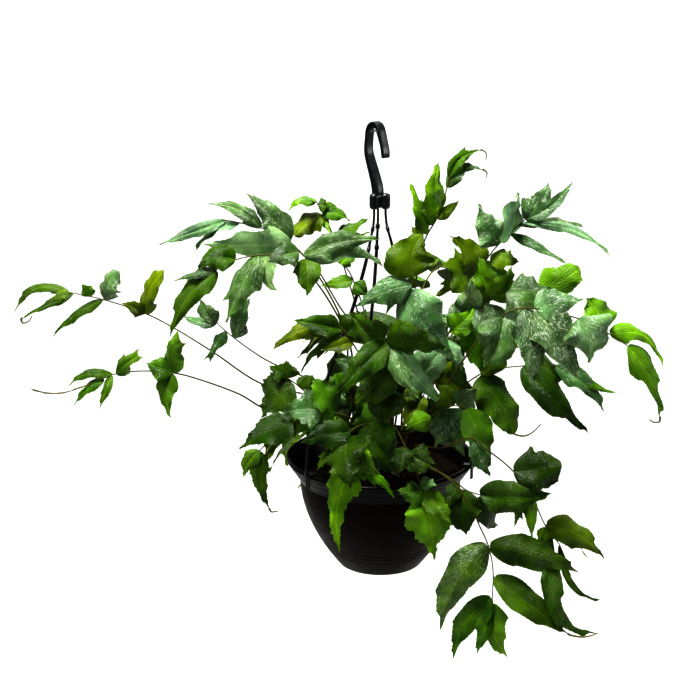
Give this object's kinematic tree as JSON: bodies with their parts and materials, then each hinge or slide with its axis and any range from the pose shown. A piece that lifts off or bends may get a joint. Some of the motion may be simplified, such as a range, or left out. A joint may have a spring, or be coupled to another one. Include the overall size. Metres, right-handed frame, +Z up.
{
  "type": "holly fern in hanging basket",
  "caption": "Trailing fern with leathery, eared leaflets in a round bowl pot with a ribbed collar, hung from a moulded hook on three thin strands.",
  "frame": {"origin": "the hang point, inside the top of the hook, where a rod or a ceiling hook carries the basket", "axes": "+Z up and parallel to the pot's axis, +X to the right in the front view, +Y away from the viewer"},
  "size_m": [0.7118, 0.4428, 0.552],
  "materials": {
    "pot_plastic": "satin black-brown injection-moulded plastic",
    "hanger_plastic": "satin black moulded plastic",
    "compost": "moist potting compost of bark and fibre",
    "crown_scales": "brown papery scales",
    "foliage": "leathery, half glossy fern leaflets on wiry stalks"
  },
  "bodies": {
    "root": {"fern_crown": "crown_scales", "frond_back": "foliage", "frond_back_inner": "foliage", "frond_back_left": "foliage", "frond_back_left_high": "foliage", "frond_back_left_side": "foliage", "frond_back_low": "foliage", "frond_back_right": "foliage", "frond_back_right_high": "foliage", "frond_back_right_low": "foliage", "frond_back_right_side": "foliage", "frond_bottom_right": "foliage", "frond_centre_dark": "foliage", "frond_centre_high": "foliage", "frond_centre_left": "foliage", "frond_centre_left_low": "foliage", "frond_centre_low": "foliage", "frond_far_left_high": "foliage", "frond_far_left_low": "foliage", "frond_front_centre": "foliage", "frond_front_middle": "foliage", "frond_inner_front": "foliage", "frond_inner_left": "foliage", "frond_inner_right": "foliage", "frond_left_front": "foliage", "frond_left_low": "foliage", "frond_left_middle": "foliage", "frond_left_rim": "foliage", "frond_lower_right": "foliage", "frond_lower_right_inner": "foliage", "frond_pot_front_left": "foliage", "frond_pot_front_right": "foliage", "frond_right": "foliage", "frond_right_low": "foliage", "frond_right_middle": "foliage", "frond_right_rim": "foliage", "frond_top_centre": "foliage", "frond_top_left": "foliage", "frond_upper_left": "foliage", "frond_upper_right": "foliage", "hanger_hook": "hanger_plastic", "hanger_strand_back": "hanger_plastic", "hanger_strand_left": "hanger_plastic", "hanger_strand_right": "hanger_plastic", "pot": "pot_plastic", "potting_compost": "compost"}
  },
  "joints": []
}
